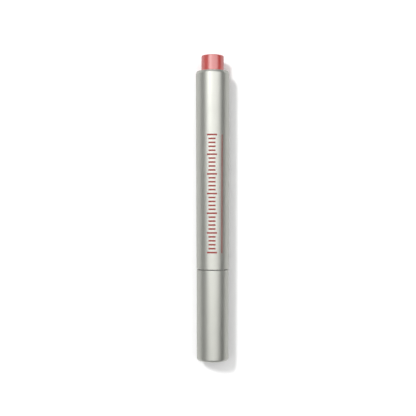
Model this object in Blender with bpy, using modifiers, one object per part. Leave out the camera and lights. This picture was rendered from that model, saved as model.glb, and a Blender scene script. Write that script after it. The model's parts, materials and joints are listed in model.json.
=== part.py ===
"""A click pen that feeds nail strengthener to a brush.

The pen lies on its side along Y, with its button at +Y and its closed cap at -Y. Every piece is
drawn round the pen's own axis, by its station: how far along the pen it lies from the cap's end.
Sizes are set from the outside in, so that a piece that fits in another follows its bore.
"""

import math

import bmesh
import bpy
from mathutils import Matrix, Vector

MM = 0.001

# Barrel
pen_radius = 7.15 * MM
barrel_taper = 0.25 * MM
barrel_length = 84.4 * MM
barrel_wall = 0.6 * MM
barrel_end_wall = 0.8 * MM
barrel_rear_edge = 0.8 * MM
seam_gap = 0.3 * MM
seam_edge = 0.15 * MM

# Cap shell
cap_step = 0.05 * MM
cap_taper = 0.1 * MM
cap_wall = 0.45 * MM
cap_end_wall = 0.6 * MM
cap_end_edge = 1.0 * MM
cap_inner_edge = 0.4 * MM
cap_tip_room = 7.3 * MM

# Clearances: pressed pieces, sliding or turning pieces, and faces that meet end to end
press_gap = 0.1 * MM
slide_gap = 0.15 * MM
face_gap = 0.1 * MM
chamfer = 0.3 * MM
overrun = 1.0 * MM

# Cap liner and its soft seal
liner_wall = 0.6 * MM
liner_recess = 0.2 * MM
liner_step = 1.2 * MM
liner_lip_depth = 3.0 * MM
liner_lip_width = 0.8 * MM
liner_lip_height = 0.3 * MM
liner_tube_wall = 0.8 * MM
liner_end_wall = 1.0 * MM
seal_thickness = 0.7 * MM
seal_width = 1.0 * MM

# Nozzle that the cap snaps on and that holds the brush
neck_length = 8.6 * MM
neck_bead_height = 0.2 * MM
neck_bead_width = 1.2 * MM
nozzle_flange = 1.2 * MM
nozzle_plug_length = 3.7 * MM
nozzle_cone_length = 1.6 * MM
nozzle_cone_height = 0.3 * MM
holder_length = 6.6 * MM
holder_taper = 0.3 * MM
holder_wall = 0.5 * MM
socket_depth = 5.2 * MM
ring_wire_radius = 0.5 * MM
ring_gap = 0.05 * MM

# Brush
ferrule_radius = 2.0 * MM
ferrule_wall = 0.25 * MM
ferrule_reach = 2.0 * MM
feed_tube_radius = 0.45 * MM
feed_tube_wall = 0.15 * MM
feed_tube_reach = 1.4 * MM
feed_tube_grip = 5.8 * MM
backing_thickness = 1.0 * MM
bristle_reach = 11.0 * MM
bristle_dome = 3.0 * MM
bristle_radius = 0.045 * MM
bristle_root = 0.4 * MM
bristle_inset = 0.1 * MM
bristle_count = 300
bristle_sides = 3
bristle_belly_share = 0.45
brush_belly_share = 1.12
brush_tip_share = 0.4

# Reservoir and piston
reservoir_wall = 1.2 * MM
piston_length = 6.0 * MM
piston_gap = 0.06 * MM
piston_waist = 0.5 * MM
piston_lip = 1.3 * MM
stroke_margin = 0.3 * MM

# Rear bush, button and the stem that it pushes
bush_wall = 1.25 * MM
bush_length = 3.6 * MM
button_reach = 6.8 * MM
button_travel = 2.5 * MM
button_edge = 0.55 * MM
button_wall = 0.7 * MM
button_top_wall = 0.9 * MM
spigot_wall = 0.6 * MM
spigot_length = 6.0 * MM
stem_step = 0.4 * MM
stem_length = 13.5 * MM
stem_flange_length = 1.2 * MM
key_width = 1.3 * MM

# Housing, spring seat and spring
housing_wall = 0.65 * MM
housing_floor = 1.2 * MM
housing_floor_gap = 0.4 * MM
seat_thickness = 1.0 * MM
spring_wire_radius = 0.25 * MM
spring_turns = 8

# Ratchet: saw teeth on the stem, on both faces of the drive sleeve's collar and on a fixed cam
tooth_count = 12
tooth_depth = 0.75 * MM
tooth_root = 0.25 * MM
tooth_land_share = 0.1
collar_gap = 0.35 * MM
collar_thickness = 2.0 * MM
cam_thickness = 2.25 * MM

# Drive sleeve, threaded rod with two flats, and the fixed nut
sleeve_gap = 0.25 * MM
sleeve_wall = 0.5 * MM
sleeve_overhang = 0.5 * MM
thread_height = 0.55 * MM
thread_lead = 3.0 * MM
thread_base = 1.5 * MM
thread_crest = 0.7 * MM
rod_flat_depth = 0.25 * MM
rod_rear_inset = 2.3 * MM
rod_engagement = 1.5 * MM
rod_neck_length = 2.1 * MM
rod_neck_share = 0.6
rod_head_length = 1.0 * MM
rod_head_share = 0.8
nut_length = 4.0 * MM
nut_plug_length = 1.2 * MM

# How finely round things are drawn
shell_steps = 48
core_steps = 24
fine_steps = 20
thread_steps = 12
spring_steps = 10
ring_points = 8
arc_steps = 3
weld_distance = 0.001 * MM

# Radii, from the shells inwards
barrel_front_radius = pen_radius - barrel_taper
cap_mouth_radius = barrel_front_radius - cap_step
cap_end_radius = cap_mouth_radius - cap_taper
barrel_bore = barrel_front_radius - barrel_wall
core_radius = barrel_bore - press_gap
chamber_radius = core_radius - reservoir_wall
plug_radius = chamber_radius - press_gap
cap_bore = cap_end_radius - cap_wall
liner_radius = cap_bore - press_gap
liner_bore = liner_radius - liner_wall
liner_lip_radius = liner_bore - liner_lip_height
neck_bead_radius = liner_lip_radius - press_gap
neck_radius = neck_bead_radius - neck_bead_height
button_radius = barrel_bore - press_gap - bush_wall - slide_gap
bush_bore = button_radius + slide_gap
spigot_radius = button_radius - button_wall - press_gap
stem_radius = button_radius - stem_step
stem_bore = spigot_radius - spigot_wall
housing_bore = core_radius - housing_wall
flange_radius = housing_bore - slide_gap
collar_radius = housing_bore - collar_gap
sleeve_radius = stem_bore - sleeve_gap
sleeve_bore = sleeve_radius - sleeve_wall
crest_radius = sleeve_bore - slide_gap
rod_radius = crest_radius - thread_height
rod_flat_half = rod_radius - rod_flat_depth
rod_neck_radius = rod_radius * rod_neck_share
rod_head_radius = rod_radius * rod_head_share

# Radii round the brush, from the feed tube and the ferrule outwards
flow_radius = feed_tube_radius + slide_gap
ferrule_bore = ferrule_radius - ferrule_wall
backing_radius = ferrule_bore - press_gap
socket_radius = ferrule_radius + press_gap
holder_front_radius = socket_radius + holder_wall
holder_rear_radius = holder_front_radius + holder_taper
cone_radius = holder_rear_radius + nozzle_cone_height
liner_tube_bore = cone_radius + slide_gap
liner_tube_radius = liner_tube_bore + liner_tube_wall

# Stations from the cap's closed end to the barrel's rear edge
liner_front = cap_end_wall + face_gap
bristle_tip = liner_front + liner_end_wall + cap_tip_room
ferrule_front = bristle_tip + bristle_reach
holder_front = ferrule_front + ferrule_reach
cone_front = holder_front + holder_length
neck_front = cone_front + nozzle_cone_length
barrel_front = neck_front + neck_length
cap_mouth = barrel_front - seam_gap
barrel_rear = barrel_front + barrel_length
overall_length = barrel_rear + button_reach

# Stations of the cap's inside, and of what fits in it
seal_rear = neck_front - face_gap
seal_front = seal_rear - seal_thickness
liner_step_face = seal_front - face_gap
liner_mouth = cap_mouth - liner_recess
lip_rear = liner_mouth - liner_lip_depth
lip_front = lip_rear - liner_lip_width
bead_rear = lip_front - slide_gap
bead_front = bead_rear - neck_bead_width
socket_floor = holder_front + socket_depth
ferrule_rear = socket_floor - face_gap
backing_rear = ferrule_rear
backing_front = backing_rear - backing_thickness
feed_tube_front = ferrule_front - feed_tube_reach
feed_tube_rear = socket_floor + feed_tube_grip

# Stations of the button and its mechanism, from the barrel's rear edge forwards
bush_rear = barrel_rear - barrel_end_wall - face_gap
bush_front = bush_rear - bush_length
flange_rear = bush_front - face_gap
flange_front = flange_rear - stem_flange_length
stem_front = flange_front - stem_length
spigot_rear = flange_rear + spigot_length
button_front = flange_rear + face_gap
button_floor = overall_length - button_top_wall
collar_rear = stem_front - button_travel - face_gap
collar_front = collar_rear - collar_thickness
cam_rear = collar_front - face_gap
cam_front = cam_rear - cam_thickness
housing_rear = bush_front - face_gap
housing_floor_rear = cam_front - face_gap
housing_floor_front = housing_floor_rear - housing_floor
seat_front = stem_front
seat_rear = seat_front + seat_thickness
rod_rear = barrel_rear - rod_rear_inset
sleeve_rear = rod_rear + sleeve_overhang

# The rod is as long as the stroke needs, and the stroke is what length the barrel leaves
plug_front = barrel_front + face_gap + nozzle_flange
plug_rear = plug_front + nozzle_plug_length
fixed_length = stroke_margin + piston_length + nut_length + rod_engagement + 3 * face_gap
stroke = (rod_rear - plug_rear - fixed_length) / 2
piston_front = plug_rear + stroke_margin + stroke
piston_rear = piston_front + piston_length
rod_front = piston_rear + face_gap
nut_front = rod_front + face_gap
nut_rear = nut_front + nut_length
nut_step = nut_front + nut_plug_length
sleeve_front = nut_rear + face_gap
housing_front = nut_rear + face_gap


def rounded(outline):
    """The outline with each corner that carries a third number, its radius, drawn as an arc."""
    points = []
    for i, corner in enumerate(outline):
        at = Vector(corner[:2])
        if len(corner) == 2:
            points.append(at)
            continue
        back = (Vector(outline[i - 1][:2]) - at).normalized()
        ahead = (Vector(outline[(i + 1) % len(outline)][:2]) - at).normalized()
        half = back.angle(ahead) / 2
        inwards = (back + ahead).normalized()
        centre = at + inwards * corner[2] / math.sin(half)
        first = (back / math.tan(half) - inwards / math.sin(half)).normalized()
        last = (ahead / math.tan(half) - inwards / math.sin(half)).normalized()
        arc = [first.slerp(last, step / arc_steps) for step in range(arc_steps + 1)]
        points += [centre + direction * corner[2] for direction in arc]
    return points


def finish(name, colour, roughness, metallic=0.0):
    material = bpy.data.materials.new(name)
    material.use_nodes = True
    shader = material.node_tree.nodes["Principled BSDF"]
    shader.inputs["Base Color"].default_value = (*colour, 1.0)
    shader.inputs["Roughness"].default_value = roughness
    shader.inputs["Metallic"].default_value = metallic
    return material


def collection(name):
    made = bpy.data.collections.new(name)
    bpy.context.scene.collection.children.link(made)
    return made


def baked(source):
    """The evaluated shape of a helper object as a mesh of its own. The helper is removed."""
    graph = bpy.context.evaluated_depsgraph_get()
    mesh = bpy.data.meshes.new_from_object(source.evaluated_get(graph))
    mesh.name = source.name
    bpy.data.objects.remove(source)
    return mesh


def piece(name, mesh, material):
    """A piece of the pen, with its origin on the pen's axis."""
    mesh.shade_smooth()
    mesh.set_sharp_from_angle(angle=math.radians(35))
    mesh.materials.clear()
    mesh.materials.append(material)
    made = bpy.data.objects.new(name, mesh)
    pen.objects.link(made)
    made.parent = pen_axis
    return made


def combine(target, operation, name, mesh):
    """A Boolean on the target with a helper shape, which isn't a piece of the pen itself."""
    helper = bpy.data.objects.new(name, mesh)
    cutters.objects.link(helper)
    helper.parent = pen_axis
    helper.hide_render = True
    helper.display_type = "WIRE"
    modifier = target.modifiers.new(name, "BOOLEAN")
    modifier.operation = operation
    modifier.solver = "EXACT"
    modifier.object = helper


def screwed_mesh(name, rows, links, steps, lead=0.0, turns=1):
    """Rows of points, joined by links, swept round the axis. With a lead they climb as a thread."""
    profile = bpy.data.meshes.new(name)
    profile.from_pydata(rows, links, [])
    source = bpy.data.objects.new(name, profile)
    bpy.context.scene.collection.objects.link(source)
    screw = source.modifiers.new("turn", "SCREW")
    screw.axis = "Z"
    screw.steps = screw.render_steps = steps
    screw.screw_offset = lead
    screw.iterations = turns
    screw.use_merge_vertices = True
    screw.merge_threshold = weld_distance
    return baked(source)


def turned_mesh(name, outline, steps):
    """An outline of (radius, station), down the outer side first, turned with a facet below."""
    points = rounded(outline)
    half = math.pi / steps
    rows = [(p.x * math.cos(half), p.x * math.sin(half), p.y) for p in points]
    links = [(i, i + 1) for i in range(len(rows) - 1)]
    if points[0].x > 0:
        links.append((len(rows) - 1, 0))
    return screwed_mesh(name, rows, links, steps)


def turned(name, outline, material, steps=core_steps):
    return piece(name, turned_mesh(name, outline, steps), material)


def ring_outline(radius, bore, front, rear):
    return [(radius, rear), (radius, front), (bore, front), (bore, rear)]


def plug_outline(radius, front, rear):
    return [(0, rear), (radius, rear), (radius, front), (0, front)]


def thread_mesh(name, core, crest, ease, first, last):
    """A core with its screw thread, past two stations and closed roughly there, to be trimmed.

    The ease widens the ridge on each side. The thread's phase follows the station alone.
    """
    low = math.floor(first / thread_lead) * thread_lead - thread_lead
    turns = math.ceil((last - low) / thread_lead) + 1
    base = thread_base / 2 + ease
    top = thread_crest / 2 + ease
    rows = [
        (core, 0, low + thread_lead),
        (core, 0, low + 2 * base),
        (crest, 0, low + base + top),
        (crest, 0, low + base - top),
        (core, 0, low),
    ]
    links = [(i, i + 1) for i in range(len(rows) - 1)]
    mesh = screwed_mesh(name, rows, links, thread_steps, thread_lead, turns)
    build = bmesh.new()
    build.from_mesh(mesh)
    bmesh.ops.remove_doubles(build, verts=build.verts, dist=weld_distance)
    middle = low + thread_lead * (turns + 1) / 2
    for end, station in ((-1, low), (1, low + thread_lead * turns)):
        rim = [e for e in build.edges if e.is_boundary and (e.verts[0].co.z - middle) * end > 0]
        grown = bmesh.ops.extrude_edge_only(build, edges=rim)["geom"]
        tips = [g for g in grown if isinstance(g, bmesh.types.BMVert)]
        bmesh.ops.pointmerge(build, verts=tips, merge_co=(0, 0, station + thread_lead / 2))
    bmesh.ops.recalc_face_normals(build, faces=build.faces)
    build.to_mesh(mesh)
    build.free()
    return mesh


def flatted_mesh(name, outline, half, steps):
    """A turned shape with two flats, each at a half width from the axis."""
    mesh = turned_mesh(name, outline, steps)
    for vertex in mesh.vertices:
        vertex.co.x = max(-half, min(half, vertex.co.x))
    return mesh


def blocks_mesh(name, blocks):
    """Boxes given by their sizes and centres, in one mesh."""
    mesh = bpy.data.meshes.new(name)
    build = bmesh.new()
    for size, centre in blocks:
        place = Matrix.Translation(centre) @ Matrix.Diagonal((*size, 1))
        bmesh.ops.create_cube(build, size=1, matrix=place)
    build.to_mesh(mesh)
    build.free()
    return mesh


def tooth_gaps_mesh(name, face, towards, inner, outer, rising):
    """The gaps between saw teeth that end at a face and point up the pen (1) or down it (-1).

    A rising tooth grows with the angle round the axis, and any other tooth falls.
    """
    mesh = bpy.data.meshes.new(name)
    pitch = math.tau / tooth_count
    build = bmesh.new()
    for i in range(tooth_count):
        for vertex in bmesh.ops.create_cube(build, size=2)["verts"]:
            across, along, up = vertex.co
            radius = outer if across > 0 else inner
            angle = pitch * (i + (1 - tooth_land_share) * (along > 0))
            deep = (along < 0) == rising
            height = overrun if up > 0 else -tooth_depth * deep
            vertex.co = (radius * math.cos(angle), radius * math.sin(angle), face + towards * height)
    bmesh.ops.recalc_face_normals(build, faces=build.faces)
    build.to_mesh(mesh)
    build.free()
    return mesh


def wire_mesh(name, points, radius):
    """A round wire along a list of points, closed at both ends."""
    line = bpy.data.curves.new(name, "CURVE")
    line.dimensions = "3D"
    line.bevel_depth = radius
    line.bevel_resolution = 1
    line.use_fill_caps = True
    spline = line.splines.new("POLY")
    spline.points.add(len(points) - 1)
    for knot, point in zip(spline.points, points):
        knot.co = (*point, 1)
    source = bpy.data.objects.new(name, line)
    bpy.context.scene.collection.objects.link(source)
    mesh = baked(source)
    build = bmesh.new()
    build.from_mesh(mesh)
    bmesh.ops.remove_doubles(build, verts=build.verts, dist=weld_distance)
    bmesh.ops.recalc_face_normals(build, faces=build.faces)
    build.to_mesh(mesh)
    build.free()
    return mesh


def bristles_mesh(name):
    """Tapered bristles from the backing forwards, each a cone bent along its own line.

    Their feet fill the ring round the feed tube in a sunflower pattern. A bristle's distance
    from the axis is its foot's, times a share that is the same for all of them at any place,
    so none crosses another.
    """
    unit = bmesh.new()
    bmesh.ops.create_cone(
        unit, cap_ends=True, segments=bristle_sides, radius1=1, radius2=0, depth=1,
        matrix=Matrix.Translation((0, 0, 0.5)),
    )
    bmesh.ops.remove_doubles(unit, verts=unit.verts, dist=bristle_belly_share / 2)
    bmesh.ops.bisect_plane(
        unit, geom=unit.verts[:] + unit.edges[:] + unit.faces[:],
        plane_co=(0, 0, bristle_belly_share), plane_no=(0, 0, 1),
    )
    cone = bpy.data.meshes.new("cone")
    unit.to_mesh(cone)
    corners = len(unit.verts)
    unit.free()
    build = bmesh.new()
    inner = flow_radius + bristle_inset
    outer = backing_radius - bristle_inset
    root = backing_front + bristle_root
    golden_angle = math.pi * (3 - math.sqrt(5))
    for i in range(bristle_count):
        share = (i + 0.5) / bristle_count
        foot = math.sqrt(inner**2 + (outer**2 - inner**2) * share)
        length = root - bristle_tip - bristle_dome * share
        build.from_mesh(cone)
        build.verts.ensure_lookup_table()
        for vertex in build.verts[-corners:]:
            along = vertex.co.z
            reach = foot * brush_spread(along * length)
            angle = i * golden_angle
            vertex.co = (
                reach * math.cos(angle) + vertex.co.x * bristle_radius,
                reach * math.sin(angle) + vertex.co.y * bristle_radius,
                root - along * length,
            )
    bpy.data.meshes.remove(cone)
    bmesh.ops.recalc_face_normals(build, faces=build.faces)
    mesh = bpy.data.meshes.new(name)
    build.to_mesh(mesh)
    build.free()
    return mesh


def brush_spread(distance):
    """How far the brush has spread, or closed up, at a distance from the bristles' roots."""
    held = backing_front + bristle_root - ferrule_front
    if distance <= held:
        return 1
    out = (distance - held) / bristle_reach
    if out <= bristle_belly_share:
        return 1 + (brush_belly_share - 1) * out / bristle_belly_share
    closing = (out - bristle_belly_share) / (1 - bristle_belly_share)
    return brush_belly_share + (brush_tip_share - brush_belly_share) * closing


def cap_shell():
    turned("cap_shell", [
        (0, cap_end_wall),
        (cap_bore, cap_end_wall, cap_inner_edge),
        (cap_bore, cap_mouth),
        (cap_mouth_radius, cap_mouth, seam_edge),
        (cap_end_radius, 0, cap_end_edge),
        (0, 0),
    ], aluminium, shell_steps)


def cap_liner():
    floor = liner_front + liner_end_wall
    turned("cap_liner", [
        (0, floor),
        (liner_tube_bore, floor),
        (liner_tube_bore, liner_step_face),
        (liner_bore, liner_step_face),
        (liner_bore, lip_front - liner_lip_height),
        (liner_lip_radius, lip_front),
        (liner_lip_radius, lip_rear),
        (liner_bore, lip_rear + liner_lip_height),
        (liner_bore, liner_mouth),
        (liner_radius, liner_mouth),
        (liner_radius, liner_step_face - liner_step),
        (liner_tube_radius, liner_step_face - liner_step),
        (liner_tube_radius, liner_front),
        (0, liner_front),
    ], white_plastic)


def cap_seal():
    radius = liner_bore - press_gap
    outline = ring_outline(radius, radius - seal_width, seal_front, seal_rear)
    turned("cap_seal", outline, soft_foam)


def barrel_shell():
    turned("barrel_shell", [
        (bush_bore, barrel_rear),
        (pen_radius, barrel_rear, barrel_rear_edge),
        (barrel_front_radius, barrel_front, seam_edge),
        (barrel_bore, barrel_front),
        (barrel_bore, barrel_rear - barrel_end_wall),
        (bush_bore, barrel_rear - barrel_end_wall),
    ], aluminium, shell_steps)


def nozzle():
    groove_radius = plug_radius - 2 * ring_wire_radius - ring_gap
    groove_middle = (plug_front + plug_rear) / 2
    groove_half = ring_wire_radius + slide_gap
    flange_start = barrel_front + face_gap
    turned("nozzle", [
        (flow_radius, plug_rear),
        (plug_radius - chamfer, plug_rear),
        (plug_radius, plug_rear - chamfer),
        (plug_radius, groove_middle + groove_half),
        (groove_radius, groove_middle + groove_half),
        (groove_radius, groove_middle - groove_half),
        (plug_radius, groove_middle - groove_half),
        (plug_radius, plug_front),
        (core_radius, plug_front),
        (core_radius, flange_start),
        (neck_radius, flange_start),
        (neck_radius, bead_rear),
        (neck_bead_radius, bead_rear - neck_bead_height),
        (neck_bead_radius, bead_front + neck_bead_height),
        (neck_radius, bead_front),
        (neck_radius, neck_front + chamfer),
        (neck_radius - chamfer, neck_front),
        (cone_radius, neck_front),
        (holder_rear_radius, cone_front),
        (holder_front_radius, holder_front),
        (socket_radius, holder_front),
        (socket_radius, socket_floor),
        (flow_radius, socket_floor),
    ], white_plastic)


def nozzle_oring():
    middle_radius = plug_radius + ring_gap - ring_wire_radius
    middle = (plug_front + plug_rear) / 2
    angles = [-math.tau * (i + 0.5) / ring_points for i in range(ring_points)]
    turned("nozzle_oring", [
        (middle_radius + ring_wire_radius * math.cos(a), middle + ring_wire_radius * math.sin(a))
        for a in angles
    ], dark_rubber)


def brush():
    tube_bore = feed_tube_radius - feed_tube_wall
    ferrule = ring_outline(ferrule_radius, ferrule_bore, ferrule_front, ferrule_rear)
    turned("brush_ferrule", ferrule, bright_steel)
    tube = ring_outline(feed_tube_radius, tube_bore, feed_tube_front, feed_tube_rear)
    turned("feed_tube", tube, bright_steel, fine_steps)
    backing = ring_outline(backing_radius, flow_radius, backing_front, backing_rear)
    tuft = turned("brush_bristles", backing, nylon)
    combine(tuft, "UNION", "bristles", bristles_mesh("bristles"))


def reservoir():
    front = plug_front + face_gap
    rear = nut_step - face_gap
    turned("reservoir", ring_outline(core_radius, chamber_radius, front, rear), clear_plastic)


def piston():
    radius = chamber_radius - piston_gap
    waist = radius - piston_waist
    neck = rod_neck_radius + slide_gap
    head = rod_head_radius + slide_gap
    pocket_rear = rod_front - rod_neck_length + slide_gap
    pocket_front = rod_front - rod_neck_length - rod_head_length - slide_gap
    turned("piston", [
        (0, pocket_front),
        (head, pocket_front),
        (head, pocket_rear),
        (neck, pocket_rear),
        (neck, piston_rear),
        (radius, piston_rear),
        (radius, piston_rear - piston_lip),
        (waist, piston_rear - piston_lip - piston_waist),
        (waist, piston_front + piston_lip + piston_waist),
        (radius, piston_front + piston_lip),
        (radius, piston_front),
        (radius - piston_waist, piston_front),
        (radius - piston_lip, piston_front + piston_waist),
        (0, piston_front + piston_waist),
    ], white_plastic)


def screw_rod():
    """A threaded rod with two flats, a neck and a head that the piston's pocket holds."""
    thread = thread_mesh("screw_rod", rod_radius, crest_radius, 0, rod_front, rod_rear)
    rod = piece("screw_rod", thread, white_plastic)
    end_chamfer = thread_height + chamfer
    blank = flatted_mesh("rod_blank", [
        (0, rod_rear),
        (crest_radius - end_chamfer, rod_rear),
        (crest_radius + face_gap, rod_rear - end_chamfer - face_gap),
        (crest_radius + face_gap, rod_front + end_chamfer + face_gap),
        (crest_radius - end_chamfer, rod_front),
        (0, rod_front),
    ], rod_flat_half, fine_steps)
    combine(rod, "INTERSECT", "rod_blank", blank)
    head_rear = rod_front - rod_neck_length
    head_front = head_rear - rod_head_length
    combine(rod, "UNION", "rod_head", turned_mesh("rod_head", [
        (0, rod_front + overrun),
        (rod_neck_radius, rod_front + overrun),
        (rod_neck_radius, head_rear),
        (rod_head_radius, head_rear),
        (rod_neck_radius, head_front),
        (0, head_front),
    ], thread_steps))


def drive_nut():
    nut = turned("drive_nut", [
        (0, nut_rear),
        (core_radius, nut_rear),
        (core_radius, nut_step),
        (plug_radius, nut_step),
        (plug_radius, nut_front),
        (0, nut_front),
    ], grey_plastic)
    core = rod_radius + slide_gap
    crest = crest_radius + slide_gap
    tap = thread_mesh("nut_thread", core, crest, slide_gap, nut_front, nut_rear)
    combine(nut, "DIFFERENCE", "nut_thread", tap)


def drive_sleeve():
    """The tube that turns the rod by its flats, with a collar toothed on both faces."""
    sleeve = turned("drive_sleeve", [
        (0, sleeve_rear),
        (sleeve_radius, sleeve_rear),
        (sleeve_radius, collar_rear),
        (collar_radius, collar_rear),
        (collar_radius, collar_front),
        (sleeve_radius, collar_front),
        (sleeve_radius, sleeve_front),
        (0, sleeve_front),
    ], grey_plastic)
    bore = plug_outline(sleeve_bore, sleeve_front - overrun, sleeve_rear + overrun)
    flat_half = rod_flat_half + slide_gap
    combine(sleeve, "DIFFERENCE", "sleeve_bore",
            flatted_mesh("sleeve_bore", bore, flat_half, fine_steps))
    for name, face, towards in (("rear", collar_rear, 1), ("front", collar_front, -1)):
        cutter = f"collar_{name}_gaps"
        gaps = tooth_gaps_mesh(
            cutter, face, towards, sleeve_radius + tooth_root, collar_radius + overrun, False)
        combine(sleeve, "DIFFERENCE", cutter, gaps)


def fixed_cam():
    bore = sleeve_radius + slide_gap
    radius = housing_bore - press_gap
    cam = turned("fixed_cam", ring_outline(radius, bore, cam_front, cam_rear), blue_plastic)
    gaps = tooth_gaps_mesh("cam_gaps", cam_rear, 1, bore / 2, radius + overrun, True)
    combine(cam, "DIFFERENCE", "cam_gaps", gaps)


def mechanism_sleeve():
    """The housing: a tube with a floor in front of the cam and two slots for the stem's keys."""
    floor_bore = sleeve_radius + housing_floor_gap
    housing = turned("mechanism_sleeve", [
        (core_radius, housing_rear),
        (core_radius, housing_front),
        (housing_bore, housing_front),
        (housing_bore, housing_floor_front),
        (floor_bore, housing_floor_front),
        (floor_bore, housing_floor_rear),
        (housing_bore, housing_floor_rear),
        (housing_bore, housing_rear),
    ], white_plastic)
    slot_front = flange_front - button_travel - slide_gap
    slot_rear = housing_rear + overrun
    size = (2 * (core_radius + overrun), key_width + 2 * slide_gap, slot_rear - slot_front)
    slots = blocks_mesh("key_slots", [(size, (0, 0, (slot_front + slot_rear) / 2))])
    combine(housing, "DIFFERENCE", "key_slots", slots)


def spring_seat():
    outline = ring_outline(housing_bore - press_gap, stem_radius + slide_gap, seat_front, seat_rear)
    turned("spring_seat", outline, grey_plastic)


def return_spring():
    radius = (stem_radius + housing_bore) / 2
    first = seat_rear + face_gap + spring_wire_radius
    last = flange_front - face_gap - spring_wire_radius
    count = spring_turns * spring_steps
    points = []
    for i in range(count + 1):
        angle = math.tau * i / spring_steps
        station = first + (last - first) * i / count
        points.append((radius * math.cos(angle), radius * math.sin(angle), station))
    piece("return_spring", wire_mesh("return_spring", points, spring_wire_radius), bright_steel)


def rear_bush():
    turned("rear_bush", ring_outline(core_radius, bush_bore, bush_front, bush_rear), grey_plastic)


def button_stem():
    """The pusher: saw teeth in front, a keyed flange that the spring lifts, and a spigot."""
    stem = turned("button_stem", [
        (stem_bore, spigot_rear),
        (spigot_radius, spigot_rear),
        (spigot_radius, flange_rear),
        (flange_radius, flange_rear),
        (flange_radius, flange_front),
        (stem_radius, flange_front),
        (stem_radius, stem_front),
        (stem_bore, stem_front),
    ], white_plastic)
    key_inner = (stem_radius + flange_radius) / 2
    key_outer = core_radius - face_gap
    size = (key_outer - key_inner, key_width, stem_flange_length - 2 * face_gap)
    middle = (flange_front + flange_rear) / 2
    keys = [(size, (side * (key_inner + key_outer) / 2, 0, middle)) for side in (-1, 1)]
    combine(stem, "UNION", "stem_keys", blocks_mesh("stem_keys", keys))
    gaps = tooth_gaps_mesh("stem_gaps", stem_front, -1, stem_bore / 2, stem_radius + overrun, True)
    combine(stem, "DIFFERENCE", "stem_gaps", gaps)


def button_cap():
    turned("button_cap", [
        (0, button_floor),
        (button_radius - button_wall, button_floor),
        (button_radius - button_wall, button_front),
        (button_radius, button_front),
        (button_radius, overall_length, button_edge),
        (0, overall_length),
    ][::-1], coral_plastic, shell_steps)


for old in list(bpy.data.objects):
    bpy.data.objects.remove(old)

pen = collection("Click pen")
cutters = collection("Cutters")
pen_axis = bpy.data.objects.new("pen_axis", None)
pen_axis.location = (0, -overall_length / 2, pen_radius * math.cos(math.pi / shell_steps))
pen_axis.rotation_euler = (-math.pi / 2, 0, 0)
pen.objects.link(pen_axis)

aluminium = finish("Satin anodised aluminium", (0.58, 0.585, 0.545), 0.28, 1.0)
coral_plastic = finish("Coral moulded plastic", (0.56, 0.085, 0.08), 0.38)
white_plastic = finish("White polypropylene", (0.86, 0.86, 0.84), 0.42)
grey_plastic = finish("Grey acetal", (0.45, 0.46, 0.47), 0.4)
blue_plastic = finish("Blue acetal", (0.12, 0.25, 0.5), 0.4)
clear_plastic = finish("Natural polypropylene", (0.78, 0.8, 0.8), 0.25)
soft_foam = finish("White polyethylene foam", (0.9, 0.9, 0.88), 0.8)
dark_rubber = finish("Black nitrile rubber", (0.02, 0.02, 0.022), 0.6)
bright_steel = finish("Bright stainless steel", (0.62, 0.61, 0.59), 0.2, 1.0)
nylon = finish("Black nylon bristle", (0.05, 0.045, 0.042), 0.35)

cap_shell()
cap_liner()
cap_seal()
barrel_shell()
nozzle()
nozzle_oring()
brush()
reservoir()
piston()
screw_rod()
drive_nut()
drive_sleeve()
fixed_cam()
mechanism_sleeve()
spring_seat()
return_spring()
rear_bush()
button_stem()
button_cap()
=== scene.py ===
# %% [markdown]
# # Dressing a click pen for its portrait
#
# The pen is already built as solids: a metal barrel, a cap that pulls off, a push button and the
# feed inside. This script gives it its looks, in the order in which a small product shoot is set
# up: the frame, the camera, the lamps and the floor, then one piece or finish at a time.
# Lengths are in metres, and the pen lies on its side along Y with its button at +Y.

# %% Load the fixed frame
import math

import bmesh
import bpy
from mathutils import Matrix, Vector
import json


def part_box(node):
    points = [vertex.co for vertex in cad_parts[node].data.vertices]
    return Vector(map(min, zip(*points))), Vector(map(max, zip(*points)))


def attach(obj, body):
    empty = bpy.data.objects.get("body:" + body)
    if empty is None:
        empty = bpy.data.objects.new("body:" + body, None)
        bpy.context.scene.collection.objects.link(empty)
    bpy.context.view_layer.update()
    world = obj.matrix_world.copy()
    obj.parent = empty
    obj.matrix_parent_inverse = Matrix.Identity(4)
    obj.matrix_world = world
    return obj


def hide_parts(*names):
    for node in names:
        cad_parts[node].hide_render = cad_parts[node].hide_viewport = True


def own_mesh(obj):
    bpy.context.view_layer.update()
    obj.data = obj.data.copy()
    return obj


MM = 0.001

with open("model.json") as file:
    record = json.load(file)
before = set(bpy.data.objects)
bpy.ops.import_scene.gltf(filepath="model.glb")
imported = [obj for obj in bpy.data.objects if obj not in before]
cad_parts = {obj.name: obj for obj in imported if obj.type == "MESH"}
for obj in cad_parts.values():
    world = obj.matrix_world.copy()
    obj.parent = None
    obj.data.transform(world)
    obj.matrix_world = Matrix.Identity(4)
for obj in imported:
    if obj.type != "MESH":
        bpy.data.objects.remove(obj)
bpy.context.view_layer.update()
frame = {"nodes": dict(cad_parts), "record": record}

# %% [markdown]
# ## Where things are
#
# Every piece goes where its solid is, so the script reads places from the frame instead of
# repeating them. A round solid gives the radius of its outside and its two ends. The solids are
# faceted, and the box touches their flats, so a fine round piece of that radius lies just inside.

# %% Measure the round solids
def outside(node):
    """The radius of a round solid, and the Y of its front and rear ends."""
    low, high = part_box(node)
    return (high.x - low.x) / 2, low.y, high.y


barrel_radius, barrel_front, barrel_rear = outside("barrel_shell")
cap_radius, cap_end, cap_mouth = outside("cap_shell")
button_radius, button_foot, button_top = outside("button_cap")
axis_height = (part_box("barrel_shell")[0].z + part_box("barrel_shell")[1].z) / 2
print(f"pen {(button_top - cap_end) / MM:.1f} mm long, {2 * barrel_radius / MM:.2f} mm across")

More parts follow.
